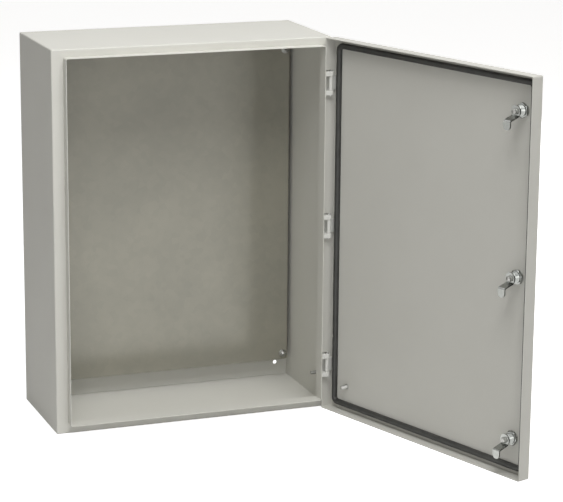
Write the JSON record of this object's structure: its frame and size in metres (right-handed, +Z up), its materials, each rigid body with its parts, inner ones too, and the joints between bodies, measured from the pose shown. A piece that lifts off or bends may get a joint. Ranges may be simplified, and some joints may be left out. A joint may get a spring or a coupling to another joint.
{
  "type": "wall-mounted steel electrical enclosure",
  "caption": "Tall shallow steel cabinet with a folded door standing open on side hinges, quarter-turn cam locks, a foam door seal and a galvanised mounting plate inside.",
  "frame": {"origin": "centre of the four wall-fixing holes, on the back face", "axes": "+Z up, +X towards the hinged side, -Y out of the front of the cabinet"},
  "size_m": [0.7982, 0.8269, 0.8],
  "materials": {
    "cabinet_paint": "fine-textured light grey powder coat",
    "door_paint": "fine-textured light grey powder coat",
    "galvanised_plate": "galvanised, dull, with a faint spangle",
    "seal_foam": "black poured foam with a smooth skin",
    "lock_seal_rubber": "black rubber, matt",
    "plated_fastener": "zinc plated",
    "hinge_casting": "die casting painted light grey, satin",
    "hinge_pin_steel": "bright steel",
    "lock_casting": "plated zinc casting, satin",
    "cam_steel": "zinc plated sheet steel"
  },
  "bodies": {
    "cabinet": {"body_shell": "cabinet_paint", "sealing_rim": "cabinet_paint", "rear_panel": "cabinet_paint", "mounting_plate": "galvanised_plate", "plate_studs": "plated_fastener", "plate_spacers": "plated_fastener", "plate_washers": "plated_fastener", "plate_nuts": "plated_fastener", "earth_stud_body": "plated_fastener", "hinge_screws": "plated_fastener", "hinge_body_top": "hinge_casting", "hinge_body_middle": "hinge_casting", "hinge_body_bottom": "hinge_casting", "hinge_pin_top": "hinge_pin_steel", "hinge_pin_middle": "hinge_pin_steel", "hinge_pin_bottom": "hinge_pin_steel"},
    "door": {"door_panel": "door_paint", "door_gasket": "seal_foam", "earth_stud_door": "plated_fastener", "lock_seals": "lock_seal_rubber", "lock_washers": "plated_fastener", "hinge_leaf_top": "hinge_casting", "hinge_leaf_middle": "hinge_casting", "hinge_leaf_bottom": "hinge_casting", "lock_housing_top": "lock_casting", "lock_housing_middle": "lock_casting", "lock_housing_bottom": "lock_casting", "lock_nut_top": "lock_casting", "lock_nut_middle": "lock_casting", "lock_nut_bottom": "lock_casting"},
    "cam_top": {"lock_insert_top": "lock_casting", "lock_cam_top": "cam_steel", "cam_washer_top": "plated_fastener", "cam_screw_top": "plated_fastener"},
    "cam_middle": {"lock_insert_middle": "lock_casting", "lock_cam_middle": "cam_steel", "cam_washer_middle": "plated_fastener", "cam_screw_middle": "plated_fastener"},
    "cam_bottom": {"lock_insert_bottom": "lock_casting", "lock_cam_bottom": "cam_steel", "cam_washer_bottom": "plated_fastener", "cam_screw_bottom": "plated_fastener"}
  },
  "joints": [
    {"name": "door_hinge", "type": "hinge", "parent": "cabinet", "child": "door", "pos_m": [0.293, -0.262, 0], "axis": [0, 0, 1], "range_deg": [-108.5, 16.5]},
    {"name": "lock_top_turn", "type": "hinge", "parent": "door", "child": "cam_top", "pos_m": [0.48395, -0.77281, 0.3265], "axis": [-0.9483, -0.3173, 0], "range_deg": [0, 90]},
    {"name": "lock_middle_turn", "type": "hinge", "parent": "door", "child": "cam_middle", "pos_m": [0.48395, -0.77281, 0], "axis": [-0.9483, -0.3173, 0], "range_deg": [0, 90]},
    {"name": "lock_bottom_turn", "type": "hinge", "parent": "door", "child": "cam_bottom", "pos_m": [0.48395, -0.77281, -0.3265], "axis": [-0.9483, -0.3173, 0], "range_deg": [0, 90]}
  ]
}
